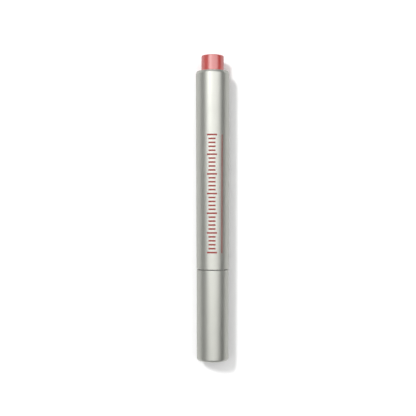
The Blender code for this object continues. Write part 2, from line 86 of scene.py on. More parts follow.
# %% [markdown]
# ## The camera
#
# The photograph looks straight down on the pen. Its lens is long enough that the barrel hardly
# narrows, and short enough that the ends of the cap and the button curve a little. A camera that
# looks along -Z with no turn has +Y upwards in its picture. It stands a little to the left, so
# the pen comes to lie just right of the picture's middle.

# %% Make the camera
camera_height = 353 * MM
camera_side_step = -1.97 * MM

scene = bpy.context.scene
camera_data = bpy.data.cameras.new("portrait_camera")
camera_data.lens = 70
camera_data.sensor_width = 36
camera = bpy.data.objects.new("portrait_camera", camera_data)
camera.location = (camera_side_step, 0, camera_height)
scene.collection.objects.link(camera)
scene.camera = camera
scene.view_settings.view_transform = "Standard"
print(f"camera {camera_height / MM:.0f} mm above the floor")

# %% [markdown]
# ## Helpers for node trees
#
# Materials, the world and Geometry Nodes are all node trees. One helper adds a node and either
# sets its inputs or links them, and the others do arithmetic and hand back the result's socket.
# A socket knows its tree as id_data, so those need no tree of their own.

# %% Add nodes and do sums with them
def add_node(tree, kind, inputs=None, **settings):
    """A node in a tree. An input, by name or number, gets a value or is linked to a socket."""
    node = tree.nodes.new(kind)
    for name, value in settings.items():
        setattr(node, name, value)
    for name, value in (inputs or {}).items():
        if isinstance(value, bpy.types.NodeSocket):
            tree.links.new(value, node.inputs[name])
        else:
            node.inputs[name].default_value = value
    return node


def product(tree, kind, inputs=None, **settings):
    """The first output of a new node."""
    return add_node(tree, kind, inputs, **settings).outputs[0]


def sums(operation, *values):
    """A Math node on sockets and numbers. It gives the socket with the result."""
    tree = next(value.id_data for value in values if isinstance(value, bpy.types.NodeSocket))
    return product(tree, "ShaderNodeMath", dict(enumerate(values)), operation=operation)


def ramp(value, low, high, start, end, kind="LINEAR"):
    """A value that goes from start to end as another goes from low to high, and then stays."""
    given = {"Value": value, "From Min": low, "From Max": high, "To Min": start, "To Max": end}
    return product(value.id_data, "ShaderNodeMapRange", given, interpolation_type=kind)


def spread(*values):
    """A ramp with soft ends."""
    return ramp(*values, "SMOOTHSTEP")


# %% [markdown]
# ## The lamps
#
# One soft lamp stands high up, to the left and towards the button, and casts the shadow. It is
# more than ten pen lengths away, so both ends of the pen get the same light and the same width
# of shadow. The rest comes from an oval panel overhead, wide across the pen and narrower along
# it. It is drawn in the world: each direction is followed to a ceiling one unit up, and it is
# bright where it meets the oval there. Between the panel and the floor the room is dark, and
# that gives the round metal its two dark bands. A pale wall on the left makes the left band the
# lighter of the two, and pale walls past the pen's two ends keep its end faces and rims from
# going black. The camera itself sees plain white.

# %% Set the key lamp
key_direction = Vector((-0.43, 0.48, 1)).normalized()
key_distance = 1.5
key_angle = math.radians(9)
key_irradiance = 0.40

key_data = bpy.data.lights.new("key_lamp", "AREA")
key_data.shape = "DISK"
key_data.size = 2 * key_distance * math.tan(key_angle / 2)
key_data.energy = key_irradiance * math.pi * key_distance**2
key = bpy.data.objects.new("key_lamp", key_data)
key.location = key_direction * key_distance
key.rotation_euler = key_direction.to_track_quat("Z", "Y").to_euler()
key.visible_camera = False
scene.collection.objects.link(key)
print(f"key lamp {key_distance} m away and {key_data.size / MM:.0f} mm across")

# %% Draw the overhead panel in the world
panel_middle = (0.22, 0.258)
panel_half = (1.31, 0.53)
panel_softness = 0.06
panel_light = 2.24
room_light = 0.01
left_wall_light = 0.3
end_wall_light = 0.45
least_rise = 0.001

world = bpy.data.worlds.new("studio")
scene.world = world
world.use_nodes = True
tree = world.node_tree
tree.nodes.clear()
direction = add_node(tree, "ShaderNodeTexCoord").outputs["Generated"]
aim = add_node(tree, "ShaderNodeSeparateXYZ", {0: direction}).outputs
upwards = sums("MAXIMUM", aim["Z"], least_rise)
squares = []
for side, middle, half in zip("XY", panel_middle, panel_half):
    met = sums("SUBTRACT", sums("DIVIDE", aim[side], upwards), middle)
    squares.append(sums("POWER", sums("DIVIDE", met, half), 2))
away = sums("SQRT", sums("ADD", *squares))
glow = spread(away, 1 - panel_softness, 1 + panel_softness, panel_light, room_light)
leftwards = sums("MAXIMUM", sums("MULTIPLY", aim["X"], -1), 0)
glow = sums("MULTIPLY_ADD", leftwards, left_wall_light, glow)
endwards = sums("MULTIPLY", aim["Y"], aim["Y"])
glow = sums("MULTIPLY_ADD", endwards, end_wall_light, glow)
seen = add_node(tree, "ShaderNodeLightPath").outputs["Is Camera Ray"]
lit = add_node(tree, "ShaderNodeBackground", {"Strength": glow})
white = add_node(tree, "ShaderNodeBackground", {"Color": (1, 1, 1, 1), "Strength": 1.0})
choice = add_node(tree, "ShaderNodeMixShader", {0: seen, 1: lit.outputs[0], 2: white.outputs[0]})
add_node(tree, "ShaderNodeOutputWorld", {"Surface": choice.outputs[0]})

# %% [markdown]
# ## The floor
#
# The floor is white paper, exposed so far that only the pen's shadow shows on it. So the camera
# sees the paper brighter than it is: the lit paper is cut off at white, and the shadow stays.
# Rays that mirror or shine through something see a little light added to it.
#
# Next to the wide panel the key lamp is too weak to draw so clear a shadow, and a stronger one
# would put a hard glare on the metal. So a second lamp stands in the same place and is linked to
# the floor alone: the pen stays lit as it was, and still throws its shadow in that light.

# %% Lay the floor
floor_half_width = 3.0
paper_white = 0.66
paper_exposed = 1.04
paper_lift = 0.1

floor_mesh = bpy.data.meshes.new("floor")
build = bmesh.new()
bmesh.ops.create_grid(build, x_segments=1, y_segments=1, size=floor_half_width)
build.to_mesh(floor_mesh)
build.free()
floor = bpy.data.objects.new("floor", floor_mesh)
scene.collection.objects.link(floor)

paper = bpy.data.materials.new("white_paper")
paper.use_nodes = True
tree = paper.node_tree
tree.nodes.clear()
path = add_node(tree, "ShaderNodeLightPath")
mirrored = sums("MAXIMUM", path.outputs["Is Glossy Ray"], path.outputs["Is Transmission Ray"])
lift = sums("MULTIPLY", mirrored, paper_lift)
extra = paper_exposed - paper_white
paleness = sums("MULTIPLY_ADD", path.outputs["Is Camera Ray"], extra, paper_white)
diffuse = add_node(tree, "ShaderNodeBsdfDiffuse", {"Color": paleness})
glow = add_node(tree, "ShaderNodeEmission", {"Strength": lift})
both = add_node(tree, "ShaderNodeAddShader", {0: diffuse.outputs[0], 1: glow.outputs[0]})
add_node(tree, "ShaderNodeOutputMaterial", {"Surface": both.outputs[0]})
floor_mesh.materials.append(paper)
print(f"floor {2 * floor_half_width} m wide")

# %% Add the lamp for the floor alone
paper_irradiance = 0.95

paper_lamp = key.copy()
paper_lamp.data = key_data.copy()
paper_lamp.name = paper_lamp.data.name = "paper_lamp"
paper_lamp.data.energy = paper_irradiance * math.pi * key_distance**2
scene.collection.objects.link(paper_lamp)
only_floor = bpy.data.collections.new("lit_by_the_paper_lamp")
only_floor.objects.link(floor)
paper_lamp.light_linking.receiver_collection = only_floor

# %% [markdown]
# ## Effects that several finishes share
#
# Real surfaces vary in small ways that repeat from one material to the next: a fine grain, faint
# cloudy patches from handling, lines left by a lathe or a drawing die, and edges that are a bit
# more polished. Each effect is a node group, built once. A group only hands out values, and the
# shader stays in the material.

# %% Start a node group
FLOAT = "NodeSocketFloat"
VECTOR = "NodeSocketVector"


def new_group(name, inputs, outputs):
    """An empty shader node group, with its input and output nodes."""
    group = bpy.data.node_groups.new(name, "ShaderNodeTree")
    for label, kind, value in inputs:
        socket = group.interface.new_socket(label, in_out="INPUT", socket_type=kind)
        if value is not None:
            socket.default_value = value
    for label in outputs:
        group.interface.new_socket(label, in_out="OUTPUT", socket_type=FLOAT)
    return group, group.nodes.new("NodeGroupInput").outputs, group.nodes.new("NodeGroupOutput")


def effect(group, place, **sizes):
    """Puts an effect in the material of the place's socket, and gives its outputs."""
    inputs = {"Vector": place}
    for label, value in sizes.items():
        inputs[label.replace("_", " ")] = value
    return add_node(place.id_data, "ShaderNodeGroup", inputs, node_tree=group).outputs


# %% Fine grain
fine_grain, given, made = new_group(
    "Fine grain",
    [("Vector", VECTOR, None), ("Grain size", FLOAT, 0.12 * MM), ("Softness", FLOAT, 0.5)],
    ["Height", "Speckle"],
)
usual_noise = (0.35, 0.65)
scale = sums("DIVIDE", 1, given["Grain size"])
noise = product(
    fine_grain, "ShaderNodeTexNoise",
    {"Vector": given["Vector"], "Scale": scale, "Detail": 3, "Roughness": given["Softness"]},
)
cells = product(fine_grain, "ShaderNodeTexVoronoi", {"Vector": given["Vector"], "Scale": scale})
fine_grain.links.new(sums("MULTIPLY", noise, cells), made.inputs["Height"])
speckle = spread(noise, *usual_noise, 0, 1)
fine_grain.links.new(speckle, made.inputs["Speckle"])

# %% Handling marks
handling, given, made = new_group(
    "Handling marks",
    [("Vector", VECTOR, None), ("Patch size", FLOAT, 9 * MM), ("Cover", FLOAT, 0.5)],
    ["Marks"],
)
highest_cloud = 0.9
patch_softness = 0.3
scale = sums("DIVIDE", 1, given["Patch size"])
clouds = product(
    handling, "ShaderNodeTexNoise",
    {"Vector": given["Vector"], "Scale": scale, "Detail": 4, "Roughness": 0.6, "Distortion": 0.4},
)
low = sums("SUBTRACT", highest_cloud, given["Cover"])
marks = spread(clouds, low, sums("ADD", low, patch_softness), 0, 1)
handling.links.new(marks, made.inputs["Marks"])

# %% Drawn lines
drawn_lines, given, made = new_group(
    "Drawn lines",
    [("Vector", VECTOR, None), ("Across", FLOAT, 0.15 * MM), ("Along", FLOAT, 12 * MM)],
    ["Height"],
)
stretch = sums("DIVIDE", given["Across"], given["Along"])
parts = add_node(drawn_lines, "ShaderNodeSeparateXYZ", {0: given["Vector"]}).outputs
slow = sums("MULTIPLY", parts["Y"], stretch)
pulled = product(drawn_lines, "ShaderNodeCombineXYZ", {"X": parts["X"], "Y": slow, "Z": parts["Z"]})
scale = sums("DIVIDE", 1, given["Across"])
lines = product(drawn_lines, "ShaderNodeTexNoise", {"Vector": pulled, "Scale": scale, "Detail": 2})
drawn_lines.links.new(lines, made.inputs["Height"])

# %% Turned rings
turned_rings, given, made = new_group(
    "Turned rings", [("Vector", VECTOR, None), ("Pitch", FLOAT, 0.12 * MM)], ["Height"]
)
along = add_node(turned_rings, "ShaderNodeSeparateXYZ", {0: given["Vector"]}).outputs["Y"]
count = sums("DIVIDE", along, given["Pitch"])
rings = product(
    turned_rings, "ShaderNodeTexNoise", {"W": count, "Scale": 1.0, "Detail": 2},
    noise_dimensions="1D",
)
turned_rings.links.new(rings, made.inputs["Height"])

# %% Worn edges
worn_edges, given, made = new_group(
    "Worn edges",
    [("Vector", VECTOR, None), ("Edge", FLOAT, 0), ("Amount", FLOAT, 0.5)],
    ["Wear"],
)
chip_size = 1.0 * MM
usual_chips = (0.25, 0.7)
least_wear = 0.4
chips = product(
    worn_edges, "ShaderNodeTexNoise",
    {"Vector": given["Vector"], "Scale": 1 / chip_size, "Detail": 3},
)
uneven = spread(chips, *usual_chips, least_wear, 1)
wear = sums("MULTIPLY", sums("MULTIPLY", given["Edge"], uneven), given["Amount"])
worn_edges.links.new(wear, made.inputs["Wear"])
print("effects:", ", ".join(group.name for group in bpy.data.node_groups))

# %% [markdown]
# ## Starting a finish
#
# Each finish below is one short function that starts from a Principled shader and the place on
# the piece in its own coordinates. It then says what colour the piece drifts between, how rough
# it is, and how deep its relief is. Some finishes also read the "edge" value, which the turned
# pieces store on their rounded corners and which is 0 on any piece without it.

# %% Start a material
def start_finish(name, **constants):
    """A material, its shader and the object coordinates. Constants go on the shader's sockets."""
    material = bpy.data.materials.new(name)
    material.use_nodes = True
    tree = material.node_tree
    shader = tree.nodes["Principled BSDF"]
    for label, value in constants.items():
        shader.inputs[label.replace("_", " ")].default_value = value
    return material, shader, add_node(tree, "ShaderNodeTexCoord").outputs["Object"]


def edge_value(shader):
    return add_node(shader.id_data, "ShaderNodeAttribute", attribute_name="edge").outputs["Fac"]


def paint(shader, factor, first, second):
    """Gives the shader a colour that drifts from the first to the second with the factor."""
    tree = shader.id_data
    mix = add_node(tree, "ShaderNodeMix", {"Factor": factor}, data_type="RGBA")
    # The sockets for colours come after those for numbers and vectors
    mix.inputs[6].default_value = (*first, 1)
    mix.inputs[7].default_value = (*second, 1)
    tree.links.new(mix.outputs[2], shader.inputs["Base Color"])


def roughen(shader, rough, *effects):
    """Gives the shader a roughness. Each effect, a socket and its amount, is added to it."""
    for value, amount in effects:
        rough = sums("MULTIPLY_ADD", value, amount, rough)
    shader.id_data.links.new(rough, shader.inputs["Roughness"])


def bump(shader, height, depth):
    """Gives the shader a relief of that depth in metres."""
    tree = shader.id_data
    relief = product(tree, "ShaderNodeBump", {"Height": height, "Distance": depth, "Strength": 1})
    tree.links.new(relief, shader.inputs["Normal"])


# %% [markdown]
# ## Satin aluminium
#
# The barrel and the cap are drawn tubes, blasted and anodised in a warm silver. Blasting leaves a
# fine grain that spreads each highlight, the drawing leaves hardly visible long lines, and the
# edges at the seam and the ends are a shade brighter. The metal's colour is its reflection.

# %% Satin aluminium
def satin_aluminium():
    material, shader, place = start_finish("satin_aluminium", Metallic=1.0)
    grain = effect(fine_grain, place, Grain_size=0.11 * MM)
    marks = effect(handling, place, Patch_size=11 * MM, Cover=0.45)
    lines = effect(drawn_lines, place)
    edge = edge_value(shader)
    wear = effect(worn_edges, place, Edge=edge, Amount=0.8)["Wear"]
    silver = (0.60, 0.605, 0.56)
    bright = (0.74, 0.745, 0.70)
    line_share = 0.5
    paint(shader, wear, silver, bright)
    roughen(shader, 0.43, (marks["Marks"], 0.03), (grain["Speckle"], 0.02), (wear, -0.10))
    relief = sums("MULTIPLY_ADD", lines["Height"], line_share, grain["Height"])
    bump(shader, relief, depth=0.0015 * MM)
    return material


# %% [markdown]
# ## Coral lacquer
#
# The push button is moulded and lacquered in a coral red with a pearly gloss. Pearl pigment has
# a high index, so it mirrors the lamps in white over the red, and a thin clear coat lies on it.

# %% Coral lacquer
def coral_lacquer():
    material, shader, place = start_finish(
        "coral_lacquer", IOR=2.5, Coat_Weight=0.4, Coat_Roughness=0.30, Coat_IOR=1.5
    )
    grain = effect(fine_grain, place, Grain_size=0.2 * MM)
    marks = effect(handling, place, Patch_size=5 * MM, Cover=0.45)
    edge = edge_value(shader)
    wear = effect(worn_edges, place, Edge=edge, Amount=0.5)["Wear"]
    coral = (0.67, 0.040, 0.030)
    rubbed = (0.70, 0.11, 0.09)
    paint(shader, wear, coral, rubbed)
    roughen(shader, 0.35, (marks["Marks"], 0.03))
    bump(shader, grain["Height"], depth=0.001 * MM)
    return material


# %% [markdown]
# ## Coral ink
#
# The marks on the barrel are printed in the button's colour. Ink is matt next to metal, a bit
# uneven where the grain below takes less of it, and darker than the lacquer.

# %% Coral ink
def coral_ink():
    material, shader, place = start_finish("coral_ink", IOR=1.5)
    grain = effect(fine_grain, place, Grain_size=0.11 * MM)
    full = (0.36, 0.040, 0.034)
    thin = (0.45, 0.085, 0.072)
    paint(shader, grain["Speckle"], full, thin)
    roughen(shader, 0.45, (grain["Speckle"], 0.10))
    bump(shader, grain["Height"], depth=0.0015 * MM)
    return material


# %% [markdown]
# ## Moulded plastics
#
# The nozzle, the liner and the mechanism are injection moulded. The mould's spark-eroded skin
# leaves a very fine grain, and the plastic cools with a faint cloudiness. The function takes the
# colour and the gloss, so that every plastic of the pen shares the same recipe.

# %% Moulded plastic
def moulded(name, colour, shade, rough, **constants):
    """An injection-moulded plastic that drifts between its colour and a slightly deeper shade."""
    material, shader, place = start_finish(name, IOR=1.49, **constants)
    grain = effect(fine_grain, place, Grain_size=0.09 * MM)
    marks = effect(handling, place, Patch_size=3 * MM, Cover=0.5)
    paint(shader, marks["Marks"], colour, shade)
    roughen(shader, rough, (grain["Speckle"], 0.06), (edge_value(shader), -0.08))
    bump(shader, grain["Height"], depth=0.004 * MM)
    return material


# %% [markdown]
# ## Steel, rubber, foam and nylon
#
# The ferrule, the feed tube and the spring are bright drawn steel with rings or lines from the
# tool. The sealing rings are matt: rubber is nearly black with a dusty bloom, and foam is white and
# full of small cells, whose low parts are painted darker as shade. The bristles are dark nylon with
# a dull sheen along each strand.

# %% Bright steel
def bright_steel():
    material, shader, place = start_finish("bright_steel", Metallic=1.0)
    rings = effect(turned_rings, place, Pitch=0.07 * MM)
    marks = effect(handling, place, Patch_size=2 * MM, Cover=0.4)
    steel = (0.60, 0.59, 0.57)
    stained = (0.50, 0.49, 0.47)
    paint(shader, marks["Marks"], steel, stained)
    roughen(shader, 0.14, (rings["Height"], 0.16))
    bump(shader, rings["Height"], depth=0.002 * MM)
    return material


# %% Black rubber
def black_rubber():
    material, shader, place = start_finish("black_rubber", IOR=1.52)
    grain = effect(fine_grain, place, Grain_size=0.08 * MM)
    rubber = (0.018, 0.018, 0.02)
    bloom = (0.045, 0.044, 0.043)
    paint(shader, grain["Speckle"], rubber, bloom)
    roughen(shader, 0.5, (grain["Speckle"], 0.15))
    bump(shader, grain["Height"], depth=0.01 * MM)
    return material


# %% White foam
def white_foam():
    material, shader, place = start_finish("white_foam", IOR=1.4)
    cell_size = 0.14 * MM
    cell_rim = (0.1, 0.5)
    pattern = {"Vector": place, "Scale": 1 / cell_size}
    cells = product(place.id_data, "ShaderNodeTexVoronoi", pattern)
    pit_shade = (0.70, 0.70, 0.68)
    skin = (0.88, 0.88, 0.86)
    opened = spread(cells, *cell_rim, 0, 1)
    # The low parts between the cells, where the bump sinks deepest, are painted darker as shade
    paint(shader, opened, skin, pit_shade)
    roughen(shader, 0.7, (opened, 0.2))
    bump(shader, cells, depth=-0.05 * MM)
    return material


# %% Black nylon
def black_nylon():
    material, shader, place = start_finish("black_nylon", IOR=1.53)
    lines = effect(drawn_lines, place, Across=0.03 * MM, Along=2 * MM)
    strand = (0.022, 0.020, 0.019)
    sheen = (0.085, 0.075, 0.068)
    usual_lines = (0.35, 0.7)
    paint(shader, spread(lines["Height"], *usual_lines, 0, 1), strand, sheen)
    roughen(shader, 0.25, (lines["Height"], 0.2))
    return material


# %% Make every finish once
finishes = {
    "satin_aluminium": satin_aluminium(),
    "coral_plastic": coral_lacquer(),
    "coral_ink": coral_ink(),
    "white_plastic": moulded(
        "white_polypropylene", colour=(0.84, 0.84, 0.81), shade=(0.78, 0.78, 0.74), rough=0.34
    ),
    "grey_plastic": moulded(
        "grey_acetal", colour=(0.44, 0.45, 0.46), shade=(0.38, 0.39, 0.40), rough=0.30
    ),
    "blue_plastic": moulded(
        "blue_acetal", colour=(0.11, 0.23, 0.47), shade=(0.08, 0.18, 0.40), rough=0.30
    ),
    "natural_plastic": moulded(
        "natural_polypropylene", colour=(0.80, 0.82, 0.81), shade=(0.72, 0.74, 0.73), rough=0.24,
        Transmission_Weight=0.55,
    ),
    "bright_steel": bright_steel(),
    "black_rubber": black_rubber(),
    "white_foam": white_foam(),
    "black_nylon": black_nylon(),
}
print("finishes:", ", ".join(finishes))

# %% [markdown]
# ## Turned pieces
#
# Nearly everything on the pen is round, so its shape is one outline of radius and Y, spun once
# round the axis. A corner may carry a rounding radius, and it is then drawn as an arc with a
# support ring on each side. The support rings keep the smooth shading of the arc away from the
# long flat stretches, and they hold the edge value at 0 while the arc holds 1. A short side has
# none, because two rings that cross would fold the surface.

# %% Round the corners of an outline
spin_steps = 160
arc_steps = 7
support_width = 0.12 * MM


def rounded(outline):
    """Points (radius, y, edge) of an outline whose corners may give a rounding radius."""
    points = []
    for i, corner in enumerate(outline):
        at = Vector(corner[:2])
        if len(corner) == 2:
            points.append((at.x, at.y, 0.0))
            continue
        before = Vector(outline[i - 1][:2])
        after = Vector(outline[(i + 1) % len(outline)][:2])
        back, ahead = (before - at).normalized(), (after - at).normalized()
        half = back.angle(ahead) / 2
        inwards = (back + ahead).normalized()
        centre = at + inwards * corner[2] / math.sin(half)
        reach = corner[2] / math.tan(half)
        first, last = at + back * reach, at + ahead * reach
        turn = (first - centre).angle_signed(last - centre)
        least_side = 2 * (reach + support_width)
        if (before - at).length > least_side:
            points.append((*(first + back * support_width), 0.0))
        for step in range(arc_steps + 1):
            direction = (first - centre).copy()
            angle = -turn * step / arc_steps
            x = direction.x * math.cos(angle) - direction.y * math.sin(angle)
            y = direction.x * math.sin(angle) + direction.y * math.cos(angle)
            points.append((centre.x + x, centre.y + y, 1.0))
        if (after - at).length > least_side:
            points.append((*(last + ahead * support_width), 0.0))
    return points


# %% Spin an outline into a piece
weld_distance = 0.0005 * MM
crease_angle = math.radians(35)


def turned(name, outline, finish, body, *nodes, steps=spin_steps):
    """A closed round piece on the pen's axis, dressed, that rides on a body."""
    build = bmesh.new()
    edge_layer = build.verts.layers.float.new("edge")
    row = []
    for radius, y, edge in rounded(outline):
        vertex = build.verts.new((radius, y, axis_height))
        vertex[edge_layer] = edge
        row.append(vertex)
    rims = [build.edges.new(pair) for pair in zip(row, row[1:])]
    if outline[0][0] > 0:
        rims.append(build.edges.new((row[-1], row[0])))
    bmesh.ops.spin(
        build, geom=row + rims, cent=(0, 0, axis_height), axis=(0, 1, 0), angle=math.tau,
        steps=steps, use_merge=True,
    )
    bmesh.ops.remove_doubles(build, verts=build.verts, dist=weld_distance)
    bmesh.ops.recalc_face_normals(build, faces=build.faces)
    mesh = bpy.data.meshes.new(name)
    build.to_mesh(mesh)
    build.free()
    return dress(name, mesh, finish, body, *nodes)


def dress(name, mesh, finish, body, *nodes):
    """Puts a finished mesh in the scene with its finish, its body and the solids it stands for."""
    mesh.shade_smooth()
    mesh.set_sharp_from_angle(angle=crease_angle)
    mesh.materials.clear()
    mesh.materials.append(finishes[finish])
    piece = bpy.data.objects.new(name, mesh)
    scene.collection.objects.link(piece)
    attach(piece, body)
    if nodes:
        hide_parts(*nodes)
    print(f"{name}: {len(mesh.polygons)} faces")
    return piece


# %% [markdown]
# ## The barrel
#
# The barrel is one drawn tube, a little narrower at its front. Its rear end has a long, shallow
# bevel and is turned in round the push button. At the seam its front edge and the cap's edge are
# cut crisp, so that the gap between them draws one thin dark line. The two rims stand a fraction
# of a millimetre nearer the button than the solids' rims, where the photograph has that line.

# %% Turn the barrel
barrel_taper = 0.25 * MM
barrel_wall = 0.6 * MM
barrel_end_wall = 0.8 * MM
bevel_length = 1.0 * MM
bevel_height = 0.34 * MM
bevel_rear_edge = 0.15 * MM
bevel_front_edge = 0.3 * MM
seam_edge = 0.08 * MM
lip_edge = 0.12 * MM
barrel_rim_step = 0.25 * MM
button_play = 0.15 * MM

barrel_front_radius = barrel_radius - barrel_taper
barrel_bore = barrel_front_radius - barrel_wall
barrel_rim = barrel_front + barrel_rim_step
button_hole = button_radius + button_play
turned("barrel", [
    (button_hole, barrel_rear, lip_edge),
    (barrel_radius - bevel_height, barrel_rear, bevel_rear_edge),
    (barrel_radius, barrel_rear - bevel_length, bevel_front_edge),
    (barrel_front_radius, barrel_rim, seam_edge),
    (barrel_bore, barrel_rim, lip_edge),
    (barrel_bore, barrel_rear - barrel_end_wall),
    (button_hole, barrel_rear - barrel_end_wall),
], "satin_aluminium", "barrel", "barrel_shell")

# %% [markdown]
# ## The cap
#
# The cap is a drawn cup of the same metal. It tapers slightly to its closed end, whose corner is
# rounded, and whose face is flat so that the pen can stand on it.

# %% Turn the cap
cap_taper = 0.1 * MM
cap_wall = 0.45 * MM
cap_end_wall = 0.6 * MM
cap_end_edge = 1.0 * MM
cap_inner_edge = 0.4 * MM
cap_rim_step = 0.14 * MM

cap_rim = cap_mouth + cap_rim_step
cap_end_radius = cap_radius - cap_taper
cap_bore = cap_end_radius - cap_wall
turned("cap", [
    (0, cap_end + cap_end_wall),
    (cap_bore, cap_end + cap_end_wall, cap_inner_edge),
    (cap_bore, cap_rim, lip_edge),
    (cap_radius, cap_rim, seam_edge),
    (cap_end_radius, cap_end, cap_end_edge),
    (0, cap_end),
], "satin_aluminium", "cap", "cap_shell")

# %% [markdown]
# ## The push button
#
# The button is a cup that hides the stem's spigot. Its top is flat with a rounded rim, and its
# skirt disappears in the barrel's rear end.

# %% Turn the push button
button_edge = 0.45 * MM
button_wall = 0.7 * MM
button_top_wall = 0.9 * MM

turned("push_button", [
    (0, button_top),
    (button_radius, button_top, button_edge),
    (button_radius, button_foot, lip_edge),
    (button_radius - button_wall, button_foot),
    (button_radius - button_wall, button_top - button_top_wall),
    (0, button_top - button_top_wall),
], "coral_plastic", "button", "button_cap")

# %% [markdown]
# ## The nozzle
#
# With the cap off, the white nozzle shows: a flange just inside the barrel's rim, the neck with
# the bead that the cap snaps over, and the slim holder of the brush. Moulded edges are never
# sharp, so each visible corner gets a small rounding, for which the solid's box leaves room.

# %% Turn the nozzle
core_radius = 6.15 * MM
neck_radius = 5.0 * MM
bead_radius = 5.2 * MM
plug_radius = 4.9 * MM
groove_radius = 3.85 * MM
cone_radius = 3.2 * MM
holder_rear_radius = 2.9 * MM
holder_front_radius = 2.6 * MM
socket_radius = 2.1 * MM
flow_radius = 0.6 * MM
neck_length = 8.6 * MM
cone_length = 1.6 * MM
bead_place = 2.95 * MM
bead_length = 1.2 * MM
bead_slope = 0.2 * MM
flange_depth = 0.35 * MM
flange_length = 1.2 * MM
socket_depth = 5.2 * MM
groove_play = 0.15 * MM
moulded_edge = 0.2 * MM
plug_edge = 0.3 * MM
bead_edge = 0.15 * MM
foot_edge = 0.1 * MM
shoulder_edge = 0.35 * MM
cone_edge = 0.3 * MM
socket_edge = 0.08 * MM

holder_front, plug_rear = outside("nozzle")[1:]
neck_front = barrel_front - neck_length
cone_front = neck_front - cone_length
bead_front = neck_front + bead_place
bead_rear = bead_front + bead_length
flange_front = barrel_front + flange_depth
plug_front = flange_front + flange_length
socket_floor = holder_front + socket_depth
ring_radius, ring_front, ring_rear = outside("nozzle_oring")
groove_front, groove_rear = ring_front - groove_play, ring_rear + groove_play

turned("neck_and_nozzle", [
    (flow_radius, plug_rear),
    (plug_radius, plug_rear, plug_edge),
    (plug_radius, groove_rear),
    (groove_radius, groove_rear),
    (groove_radius, groove_front),
    (plug_radius, groove_front),
    (plug_radius, plug_front),
    (core_radius, plug_front, moulded_edge),
    (core_radius, flange_front, moulded_edge),
    (neck_radius, flange_front, moulded_edge),
    (neck_radius, bead_rear, foot_edge),
    (bead_radius, bead_rear - bead_slope, bead_edge),
    (bead_radius, bead_front + bead_slope, bead_edge),
    (neck_radius, bead_front, foot_edge),
    (neck_radius, neck_front, shoulder_edge),
    (cone_radius, neck_front, bead_edge),
    (holder_rear_radius, cone_front, cone_edge),
    (holder_front_radius, holder_front, moulded_edge),
    (socket_radius, holder_front, socket_edge),
    (socket_radius, socket_floor),
    (flow_radius, socket_floor),
], "white_plastic", "barrel", "nozzle")

# %% Turn the ring that seals it
ring_points = 24
ring_steps = 96
ring_wire = (ring_rear - ring_front) / 2
ring_middle = ring_radius - ring_wire
ring_station = (ring_front + ring_rear) / 2
turned("nozzle_ring", [
    (ring_middle + ring_wire * math.cos(turn), ring_station - ring_wire * math.sin(turn))
    for turn in (math.tau * step / ring_points for step in range(ring_points))
], "black_rubber", "barrel", "nozzle_oring", steps=ring_steps)

# %% [markdown]
# ## The inside of the cap
#
# A moulded insert lines the metal cap. It grips the neck with a low lip, carries a soft foam ring
# that the neck's shoulder presses, and covers the brush with a tube, so that the brush stays wet.

# %% Turn the liner
liner_bore = 5.6 * MM
lip_radius = 5.3 * MM
lip_height = 0.3 * MM
tube_radius = 4.15 * MM
tube_bore = 3.35 * MM
tube_floor_wall = 1.0 * MM
lip_depth = 3.0 * MM
lip_width = 0.8 * MM
step_play = 0.1 * MM
step_wall = 1.2 * MM

liner_radius, liner_front, liner_mouth = outside("cap_liner")
seal_radius, seal_front, seal_rear = outside("cap_seal")
liner_step = seal_front - step_play
lip_rear = liner_mouth - lip_depth
lip_front = lip_rear - lip_width
tube_floor = liner_front + tube_floor_wall

turned("cap_insert", [
    (0, tube_floor),
    (tube_bore, tube_floor, moulded_edge),
    (tube_bore, liner_step, moulded_edge),
    (liner_bore, liner_step, moulded_edge),
    (liner_bore, lip_front - lip_height, bead_edge),
    (lip_radius, lip_front, bead_edge),
    (lip_radius, lip_rear, bead_edge),
    (liner_bore, lip_rear + lip_height, bead_edge),
    (liner_bore, liner_mouth, moulded_edge),
    (liner_radius, liner_mouth, foot_edge),
    (liner_radius, liner_step - step_wall),
    (tube_radius, liner_step - step_wall, moulded_edge),
    (tube_radius, liner_front, moulded_edge),
    (0, liner_front),
], "white_plastic", "cap", "cap_liner")

# %% Turn the foam seal
seal_edge = 0.12 * MM
seal_width = 1.0 * MM
turned("foam_seal", [
    (seal_radius - seal_width, seal_front, seal_edge),
    (seal_radius - seal_width, seal_rear, seal_edge),
    (seal_radius, seal_rear, seal_edge),
    (seal_radius, seal_front, seal_edge),
], "white_foam", "cap", "cap_seal")

# %% [markdown]
# ## The ferrule and the feed tube
#
# A steel ferrule holds the bristles in the nozzle. Two rolled grooves crimp it on the tuft, and
# its front edge is turned over smoothly, as on any good brush. The thin tube that brings the
# liquid ends inside the tuft.

# %% Turn the ferrule
ferrule_bore = 1.75 * MM
crimp_places = (1.35 * MM, 0.7 * MM)
crimp_depth = 0.14 * MM
crimp_half = 0.22 * MM
crimp_edge = 0.06 * MM
crimp_floor_edge = 0.12 * MM
ferrule_edge = 0.1 * MM
ferrule_steps = 128

ferrule_radius, ferrule_front, ferrule_rear = outside("brush_ferrule")
outline = [
    (ferrule_bore, ferrule_rear),
    (ferrule_radius, ferrule_rear, ferrule_edge),
]
for place in crimp_places:
    crimp = ferrule_front + place
    outline += [
        (ferrule_radius, crimp + crimp_half, crimp_edge),
        (ferrule_radius - crimp_depth, crimp, crimp_floor_edge),
        (ferrule_radius, crimp - crimp_half, crimp_edge),
    ]
outline += [
    (ferrule_radius, ferrule_front, lip_edge),
    (ferrule_bore, ferrule_front, ferrule_edge),
]
turned("crimped_ferrule", outline, "bright_steel", "barrel", "brush_ferrule", steps=ferrule_steps)

# %% Turn the feed tube
feed_wall = 0.15 * MM
feed_edge = 0.05 * MM
slim_steps = 48

